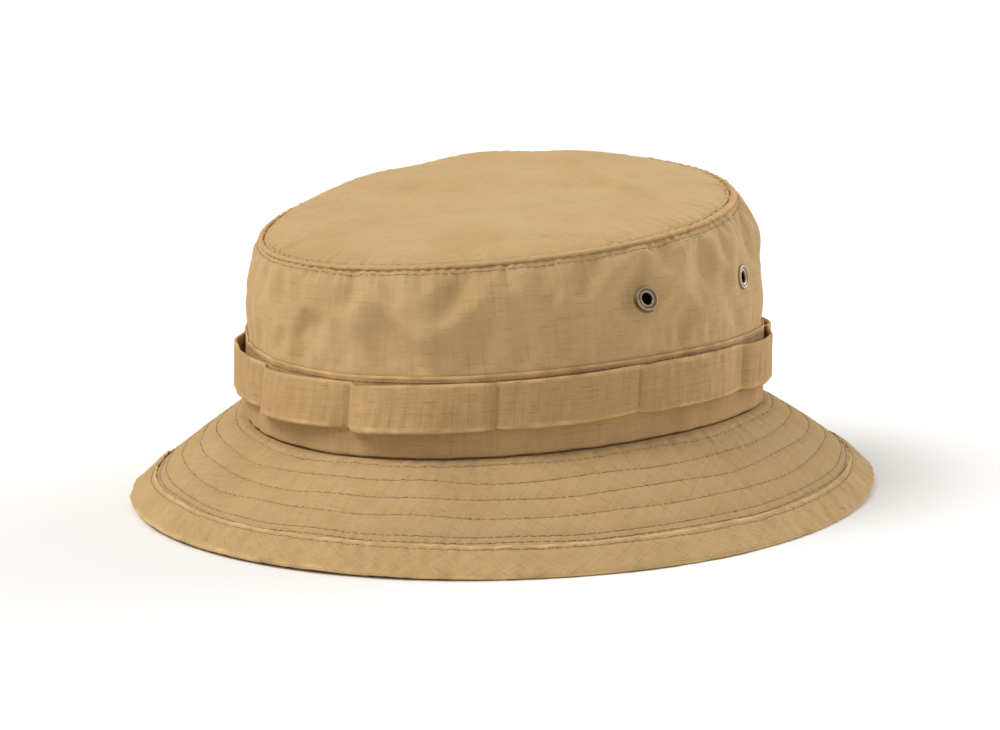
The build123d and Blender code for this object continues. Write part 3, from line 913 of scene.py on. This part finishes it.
WELT_RADIUS = 0.65
finish_piece(
    tube_ring(
        "crown_top_cord", wall_surface, WALL_LENGTH - 0.7, CROWN_FACE + 0.35,
        lambda t, s: 0.12 * ripples(3, 14, (55, 150), 0.12, t, s),
        WELT_RADIUS, count(900), 14, welt_swell,
    ),
    band_cloth, "band_cloth", "crown_top_welt",
)


BRIM_START = 2.8
BRIM_SQUARE = 340
BRIM_SHARE = 0.335  # of the square that each layer is cut from
for name, rows, back, face, around, material, slot, node in (
    ("brim_upper", 50, -BRIM_PLY, 0.0, 700, brim_cloth, "brim_cloth", "brim_upper_panel"),
    ("brim_interlining", 24, FELT_BACK, FELT_FACE, 360, felt_cloth, "brim_stiffener_felt", "brim_stiffener"),
    ("brim_lower", 50, LOWER_BACK, LOWER_FACE, 600, brim_cloth, "brim_cloth", "brim_lower_panel"),
):
    section = layer_section(BRIM_START, BRIM_SLANT, count(rows), back, face)
    finish_piece(
        sewn_ring(name, brim_surface, section, brim_relief, count(around), grain=brim_grain),
        material, slot, node,
        cut=(BRIM_SQUARE, BRIM_SQUARE), area=BRIM_SHARE * BRIM_SQUARE * BRIM_SQUARE,
    )

BINDING_WIDTH, BINDING_PLY = 11.5, 0.6


def binding_section(rows, nose_steps):
    """Section of the folded binding: over the brim, round its edge and back under it, then inside."""
    top, under = GAP + BINDING_PLY, LOWER_BACK - GAP - BINDING_PLY
    middle, radius = (top + under) / 2, (top - under) / 2
    centre = radius - 0.9
    s_top = np.linspace(BINDING_WIDTH, centre, rows)
    angle = np.linspace(90, 270, nose_steps)[1:-1]
    s_nose = centre + radius * np.cos(np.radians(angle))
    d_nose = middle + radius * np.sin(np.radians(angle))
    outer_s = np.concatenate([s_top, s_nose, s_top[::-1]])
    outer_d = np.concatenate([np.full(rows, top), d_nose, np.full(rows, under)])
    small = radius - BINDING_PLY
    in_nose = centre + small * np.cos(np.radians(angle))
    in_d = middle + small * np.sin(np.radians(angle))
    inner_s = np.concatenate([s_top, in_nose, s_top[::-1]])[::-1]
    inner_d = np.concatenate(
        [np.full(rows, top - BINDING_PLY), in_d, np.full(rows, under + BINDING_PLY)]
    )[::-1]
    tip = BINDING_WIDTH + 0.3
    s_loop = np.concatenate([outer_s, [tip], inner_s, [tip]])
    d_loop = np.concatenate([outer_d, [under + 0.3], inner_d, [top - 0.3]])
    return s_loop[::-1], d_loop[::-1]


PRESS_DEPTH = 0.6 * MM


def settle_on_floor(obj):
    """Nothing goes below the resting plane: the binding is pressed flatter there, layer on layer."""
    flat = np.empty(len(obj.data.vertices) * 3, np.float32)
    obj.data.vertices.foreach_get("co", flat)
    flat[2::3] = np.logaddexp(0.0, flat[2::3] / PRESS_DEPTH) * PRESS_DEPTH + 2e-5
    obj.data.vertices.foreach_set("co", flat)
    obj.data.update()
    return obj


finish_piece(
    settle_on_floor(sewn_ring(
        "brim_binding", brim_surface, binding_section(count(16), 13), binding_relief, count(1000),
        grain=bias_grain, wear_and_highlight=edge_wear_and_highlight(BINDING_WIDTH, -0.8),
    )),
    binding_cloth, "binding_cloth", "brim_edge_binding", cut=(860, 28), area=820 * 27,
)


SWEAT_ROW = -1.3


def sweat_relief(t, s):
    """Sweatband: held at its foot, loose and gently rippled towards its free edge."""
    free = np.clip((s - SWEAT_ROW) / 30.0, 0, 1) ** 1.4
    loose = 1.9 + 0.9 * ripples(92, 9, (3, 12), 0.03, t, s) + 0.3 * ripples(93, 9, (12, 40), 0.1, t, s)
    return whole_wall_relief(t, s) * (1 - free) - free * loose - 0.25 * hump(s - SWEAT_ROW, 0.8)


finish_piece(
    sewn_ring(
        "sweatband_strip", wall_surface,
        layer_section(-3.5, 29.0, count(26), SWEAT_FACE, SWEAT_BACK, fold=0.6), sweat_relief, count(480),
    ),
    sweat_cloth, "sweatband_twill", "sweatband", cut=(585, 34), area=578 * 32.5,
)
finish_piece(
    sewn_ring(
        "seam_bias_tape", wall_surface,
        layer_section(57.8, 67.3, count(12), CROWN_BACK - 0.55, CROWN_BACK - GAP),
        crown_relief, count(700), grain=bias_grain,
    ),
    tape_cloth, "seam_tape", "crown_seam_tape", cut=(540, 11), area=525 * 9.5,
)


# The size label: a blank patch sewn flat on the inside of the sweatband.
LABEL_WIDTH, LABEL_FOOT, LABEL_HEAD, LABEL_PLY = 28.0, 6.0, 21.0, 0.35
label_t, label_s = np.meshgrid(
    BACK + np.linspace(LABEL_WIDTH / 2, -LABEL_WIDTH / 2, 40) / CROWN_RADIUS,
    np.linspace(LABEL_FOOT, LABEL_HEAD, 24),
)
lie = SWEAT_FACE - 0.1 + sweat_relief(label_t, label_s)
finish_piece(
    shell(
        "size_label_patch", place(wall_surface, label_t, label_s, lie - LABEL_PLY),
        place(wall_surface, label_t, label_s, lie),
        np.stack([-(label_t - BACK) * CROWN_RADIUS, label_s], -1), {"wear_and_highlight": 0 * label_t},
    ),
    label_cloth, "label_satin", "size_label", cut=(LABEL_WIDTH, LABEL_HEAD - LABEL_FOOT),
)

# The care label: sewn at its head to the seam tape, then free. It bends where it leaves its seam.
CARE_WIDTH, CARE_HEAD, CARE_HANG, CARE_PLY = 24.0, 3.5, 37.35, 0.4
joint_y, joint_z = 92.478, 90.588
across, down = np.meshgrid(
    np.linspace(-CARE_WIDTH / 2, CARE_WIDTH / 2, 30), np.linspace(CARE_HEAD, -CARE_HANG, 70)
)
hang = np.clip(-down / CARE_HANG, 0, 1)
curl = 2.6 * hang**1.6 + 0.5 * np.cos(across / (CARE_WIDTH / 2) * 1.7) * hang
care = np.stack([across, joint_y - curl, joint_z + down], -1)
half_ply = (0, CARE_PLY / 2, 0)
care_label = shell(
    "care_label_cloth", care - half_ply, care + half_ply, np.stack([across, down], -1),
    {"wear_and_highlight": 0 * across},
)
care_label.data.materials.append(label_cloth)
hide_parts("care_label_top", "care_label_flap")
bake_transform(care_label)


# ---------------------------------------------------------------- thread

def stitch_tree():
    """Lays one stitch at every pitch along a row, each pointing the way its row says."""
    tree = bpy.data.node_groups.new("stitches_along_a_row", "GeometryNodeTree")
    sockets = [
        ("Row", "NodeSocketGeometry"), ("Pitch", "NodeSocketFloat"), ("Stitch", "NodeSocketVector"),
        ("Seed", "NodeSocketInt"), ("Thread", "NodeSocketMaterial"),
    ]
    for name, kind in sockets:
        tree.interface.new_socket(name, in_out="INPUT", socket_type=kind)
    tree.interface.new_socket("Stitches", in_out="OUTPUT", socket_type="NodeSocketGeometry")
    given = add(tree, "NodeGroupInput").outputs
    line = add(tree, "GeometryNodeMeshToCurve", Mesh=given["Row"])
    points = add(
        tree, "GeometryNodeResampleCurve", {"mode": "LENGTH"}, Curve=line, Length=given["Pitch"]
    )
    lay = add(
        tree, "GeometryNodeInputNamedAttribute", {"data_type": "FLOAT_VECTOR"}, Name="lay"
    )
    stray = add(
        tree, "FunctionNodeRandomValue", {"data_type": "FLOAT_VECTOR"},
        Min=(-0.07, -0.07, -0.07), Max=(0.07, 0.07, 0.07), Seed=given["Seed"],
    )
    pointed = add(tree, "ShaderNodeVectorMath", {"operation": "ADD"}, in_0=lay, in_1=stray)
    turned = add(tree, "FunctionNodeAlignRotationToVector", {"axis": "Z"}, Vector=pointed)
    vary = add(
        tree, "FunctionNodeRandomValue", {"data_type": "FLOAT_VECTOR"},
        Min=(0.85, 0.85, 0.9), Max=(1.12, 1.12, 1.06), Seed=given["Seed"],
    )
    size = add(
        tree, "ShaderNodeVectorMath", {"operation": "MULTIPLY"}, in_0=given["Stitch"], in_1=vary
    )
    bead = add(tree, "GeometryNodeMeshUVSphere", Segments=6, Rings=6, Radius=1.0)
    # Each bead stores how near a point lies to its ends; the thread material paints shade there, for the
    # needle holes.
    spot = add(tree, "GeometryNodeInputPosition")
    along = add(tree, "ShaderNodeSeparateXYZ", Vector=spot).outputs[2]
    near_end = add(tree, "ShaderNodeMath", {"operation": "ABSOLUTE"}, in_0=along)
    end_shade = add(tree, "ShaderNodeMath", {"operation": "POWER"}, in_0=near_end, in_1=3.0)
    bead = add(
        tree, "GeometryNodeStoreNamedAttribute", {"data_type": "FLOAT", "domain": "POINT"},
        Geometry=bead, Name="needle_hole_shade", Value=end_shade,
    )
    laid = add(
        tree, "GeometryNodeInstanceOnPoints", Points=points, Instance=bead, Rotation=turned, Scale=size
    )
    real = add(tree, "GeometryNodeRealizeInstances", Geometry=laid)
    dressed = add(tree, "GeometryNodeSetMaterial", Geometry=real, Material=given["Thread"])
    add(tree, "NodeGroupOutput", Stitches=dressed)
    return tree


stitches_along_a_row = stitch_tree()
THREAD_RADIUS = 0.24


def thread_rows(name, rows, nodes, pitch=STITCH, length=0.98 * STITCH, radius=THREAD_RADIUS, seed=1):
    """Stitched rows as one mesh. A row is its points in mm, the way its stitches lie, and closed or not."""
    points, lays, edges, start = [], [], [], 0
    for row, lay, closed in rows:
        size = len(row)
        points.append(row)
        lays.append(lay)
        edges += [(start + n, start + (n + 1) % size) for n in range(size if closed else size - 1)]
        start += size
    mesh = bpy.data.meshes.new(name)
    mesh.from_pydata((np.concatenate(points) * MM).tolist(), edges, [])
    lay_mark = mesh.attributes.new("lay", "FLOAT_VECTOR", "POINT")
    lay_mark.data.foreach_set("vector", np.concatenate(lays).reshape(-1).astype(np.float32))
    obj = new_object(name, mesh)
    grow = obj.modifiers.new("stitches", "NODES")
    grow.node_group = stitches_along_a_row
    given = {
        "Pitch": pitch * MM, "Stitch": (radius * MM, radius * MM, length / 2 * MM),
        "Seed": seed, "Thread": thread_tan,
    }
    for item in stitches_along_a_row.interface.items_tree:
        if item.in_out == "INPUT" and item.name in given:
            grow[item.identifier] = given[item.name]
    seen = obj.evaluated_get(bpy.context.evaluated_depsgraph_get())
    grown = bpy.data.meshes.new_from_object(seen)
    obj.modifiers.clear()
    obj.data = grown
    grown.shade_smooth()
    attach(obj, "hat")
    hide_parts(*nodes)
    return obj


def ring_row(surface, s, d, relief, wander=0.0, samples=1400):
    """A row of stitches right round the hat."""
    t = round_hat(samples)
    at = s + wander + 0 * t
    row = place(surface, t, at, d + relief(t, at))
    lay = np.roll(row, -1, 0) - np.roll(row, 1, 0)
    return row, unit(lay), True


def brim_rows(s, top, under, relief):
    """Needle thread on the brim's upper face and bobbin thread on its lower one."""
    wander = row_wander(round_hat(1400), s)
    proud = 0.06
    return [
        ring_row(brim_surface, s, top + proud, relief, wander),
        ring_row(brim_surface, s, under - proud, relief, wander),
    ]


for number, row_s in enumerate(reversed(BRIM_ROWS), 1):
    thread_rows(
        f"quilting_row_{number}", brim_rows(row_s, 0.0, LOWER_BACK, brim_relief),
        [f"brim_stitch_row_{number}"], seed=number,
    )
binding_faces = GAP + BINDING_PLY, LOWER_BACK - GAP - BINDING_PLY
for name, rows, node, seed in (
    ("brim_edge_row", brim_rows(EDGE_ROW, 0.0, LOWER_BACK, brim_relief), "brim_edge_stitching", 11),
    ("binding_row", brim_rows(BINDING_ROW, *binding_faces, binding_relief), "binding_fold_stitching", 12),
    ("band_fold_row", [ring_row(wall_surface, BAND_WIDTH - FOLD_ROW, 0.1, band_relief)],
     "base_band_stitching", 13),
    ("top_seam_row", [ring_row(wall_surface, WALL_LENGTH - TOP_ROW, CROWN_FACE + 0.05, crown_relief)],
     "crown_top_stitching", 14),
    ("sweatband_row", [ring_row(wall_surface, SWEAT_ROW, SWEAT_FACE - 0.1, sweat_relief)],
     "sweatband_stitching", 15),
):
    thread_rows(name, rows, [node], seed=seed)


def upright_row(t, low, high, d, relief):
    """A row of stitches up the wall."""
    s = np.linspace(low, high, 120)
    row = place(wall_surface, t + 0 * s, s, d + relief(t + 0 * s, s))
    lay = np.gradient(row, axis=0)
    return row, unit(lay), False


# The felled seam's two rows stand 6 mm apart at the centre back.
seam_half = 3.0 / CROWN_RADIUS
thread_rows(
    "back_seam_rows",
    [upright_row(BACK + way * seam_half, 27.2, 55.2, CROWN_FACE + 0.1, crown_relief) for way in (-1, 1)],
    ["crown_back_seam_stitching"], seed=16,
)


def bar_tack(n):
    """A dense bar of thread across the strap: short stitches laid side by side, up the strap."""
    t = tack_angle(n)
    s = np.linspace(STRAP_BASE + 1.2, STRAP_BASE + STRAP_WIDTH - 1.2, 60)
    angles = t + 0 * s
    s = strap_level(angles, s)
    row = place(wall_surface, angles, s, 0.1 + STRAP_PLY + strap_relief(angles, s))
    lay = np.array([-math.sin(t), math.cos(t), 0.1])
    return row, np.tile(lay / np.linalg.norm(lay), (60, 1)), False


thread_rows("bar_tack_rows", [bar_tack(n) for n in range(LOOPS)], ["loop_bar_tacks"],
            pitch=0.5, length=1.9, radius=0.24, seed=17)


def frame_row(corners, d, relief):
    """A closed row of stitches through corners given as angle and height."""
    t, s = [], []
    for (t0, s0), (t1, s1) in zip(corners, corners[1:] + corners[:1]):
        t.append(np.linspace(t0, t1, 30, endpoint=False))
        s.append(np.linspace(s0, s1, 30, endpoint=False))
    t, s = np.concatenate(t), np.concatenate(s)
    row = place(wall_surface, t, s, d + relief(t, s))
    lay = np.roll(row, -1, 0) - row
    return row, unit(lay), True


LABEL_MARGIN = 1.6
FINE = {"pitch": 2.2, "length": 1.9, "radius": 0.2}
reach = (LABEL_WIDTH / 2 - LABEL_MARGIN) / CROWN_RADIUS
foot, head = LABEL_FOOT + LABEL_MARGIN, LABEL_HEAD - LABEL_MARGIN
label_corners = [(BACK - reach, foot), (BACK + reach, foot), (BACK + reach, head), (BACK - reach, head)]
thread_rows("size_label_row", [frame_row(label_corners, SWEAT_FACE - 0.5, sweat_relief)],
            ["size_label_stitching"], seed=18, **FINE)
care_x = np.linspace(LABEL_MARGIN - CARE_WIDTH / 2, CARE_WIDTH / 2 - LABEL_MARGIN, 40)
care_row = np.stack([care_x, np.full(40, joint_y - 0.25), np.full(40, joint_z + 2.4)], -1)
thread_rows("care_label_row", [(care_row, np.tile((1.0, 0.0, 0.0), (40, 1)), False)],
            ["care_label_stitching"], seed=19, **FINE)


# ---------------------------------------------------------------- vents

# Profiles, as radius and height above the crown's outer face: bead, hollow, lip and barrel.
EYELET = [
    (4.2, 0.02), (4.22, 0.22), (4.05, 0.46), (3.78, 0.58), (3.5, 0.56), (3.28, 0.42), (3.12, 0.34),
    (2.95, 0.38), (2.7, 0.46), (2.35, 0.42), (2.08, 0.22), (1.98, -0.1), (2.0, -1.2), (2.2, -1.5),
    (2.6, -1.62), (3.1, -1.6), (3.3, -1.45), (3.2, -1.3), (2.7, -1.25), (2.55, -1.1), (2.55, -0.1),
    (2.7, 0.0),
]
EYELET_WEAR = [0.1, 0.3, 0.8, 1.0, 0.7, 0.1, 0.0, 0.2, 0.8, 1.0, 0.6, 0.2, 0.0] + [0.3] * 9
WASHER = [(4.6, -0.75), (4.6, -1.05), (4.4, -1.17), (2.9, -1.17), (2.75, -1.05), (2.75, -0.75)]
WASHER_WEAR = [0.4] * 6
SIDES = 48


def turned_ring(name, profile, wear_and_highlight, where, material, slot, node):
    """A ring turned from its profile and set in the wall."""
    origin, u, v, w = where
    angle = (np.arange(SIDES) * TURN / SIDES)[None, :, None]
    radius = np.array([p[0] for p in profile])[:, None, None]
    height = np.array([p[1] for p in profile])[:, None, None]
    points = origin + radius * (np.cos(angle) * u + np.sin(angle) * v) + height * w
    rows = len(profile)
    i, j = np.meshgrid(np.arange(rows), np.arange(SIDES), indexing="ij")
    faces = np.stack(
        [
            i * SIDES + j, i * SIDES + (j + 1) % SIDES,
            (i + 1) % rows * SIDES + (j + 1) % SIDES, (i + 1) % rows * SIDES + j,
        ],
        -1,
    ).reshape(-1, 4)
    marks = {"wear_and_highlight": np.repeat(np.array(wear_and_highlight)[:, None], SIDES, 1)}
    return finish_piece(hat_mesh(name, points, faces.tolist(), None, marks), material, slot, node)


for vent, (degrees, height) in VENTS.items():
    angle = math.radians(degrees)
    spot_t, spot_s = np.array([angle, angle + 0.03, angle]), np.array([0.0, 0.0, 3.0]) + height
    spots = place(wall_surface, spot_t, spot_s, CROWN_FACE + whole_wall_relief(spot_t, spot_s))
    u = spots[1] - spots[0]
    u /= np.linalg.norm(u)
    w = np.cross(u, spots[2] - spots[0])
    w /= np.linalg.norm(w)
    where = (spots[0] + 0.05 * w, u, np.cross(w, u), w)
    turned_ring("vent_ring_" + vent, EYELET, EYELET_WEAR, where, eyelet_brass,
                "eyelet_brass", "vent_eyelet_" + vent)
    turned_ring("vent_back_" + vent, WASHER, WASHER_WEAR, where, washer_brass,
                "washer_brass", "vent_washer_" + vent)


# ---------------------------------------------------------------- studio

def plain(name, code, rough):
    """A plain matt finish."""
    material = bpy.data.materials.new(name)
    material.use_nodes = True
    shader = material.node_tree.nodes["Principled BSDF"]
    shader.inputs["Base Color"].default_value = linear(code)
    shader.inputs["Roughness"].default_value = rough
    return material


bpy.ops.mesh.primitive_plane_add(size=8.0, location=(0, 0, 0))
floor = bpy.context.object
floor.name = "studio_floor"
floor.data.materials.append(plain("white_paper", "#f4f3f1", 0.9))

VIEW_TURN, VIEW_RISE, VIEW_DISTANCE, VIEW_LENS = math.radians(34.5), math.radians(11.02), 1.2, 121.36
level = math.cos(VIEW_RISE)
right = Vector((math.cos(VIEW_TURN), math.sin(VIEW_TURN), 0))
back = Vector((math.sin(VIEW_TURN) * level, -math.cos(VIEW_TURN) * level, math.sin(VIEW_RISE)))
up = back.cross(right)
target = right * -2.27 * MM + Vector((0, 0, 43.44 * MM))


def looking(obj, towards, at, distance):
    """Puts a light or the camera at a distance from a point, looking at it."""
    z = towards.normalized()
    x = Vector((0, 0, 1)).cross(z).normalized()
    turned = Matrix((x, z.cross(x), z)).transposed().to_4x4()
    obj.matrix_world = Matrix.Translation(at + z * distance) @ turned


lens = bpy.data.cameras.new("view")
lens.sensor_width = 36.0
lens.lens = VIEW_LENS
camera = new_object("camera", lens)
looking(camera, back, target, VIEW_DISTANCE)
bpy.context.scene.camera = camera


def sun(name, towards, strength, spread):
    """A far softbox: even light from one side, with a soft edge to its shadow."""
    light = bpy.data.lights.new(name, "SUN")
    light.energy = strength
    light.angle = math.radians(spread)
    looking(new_object(name, light), towards, target, 2.0)


sun("key_left", -right * 0.95 + up * 1.2 + back * 0.42, 2.1, 30)
sun("fill_right", right * 1.0 + up * 0.6 - back * 0.6, 1.25, 40)

world = bpy.data.worlds.new("studio")
bpy.context.scene.world = world
world.use_nodes = True
sky = world.node_tree
sky.nodes.clear()
seen_by_eye = add(sky, "ShaderNodeLightPath").outputs["Is Camera Ray"]
strength = add(sky, "ShaderNodeMapRange", Value=seen_by_eye, To_Min=0.54, To_Max=1.0)
glow = add(sky, "ShaderNodeBackground", Color=(1.0, 1.0, 1.0, 1.0), Strength=strength)
add(sky, "ShaderNodeOutputWorld", Surface=glow)
bpy.context.scene.view_settings.view_transform = "Standard"
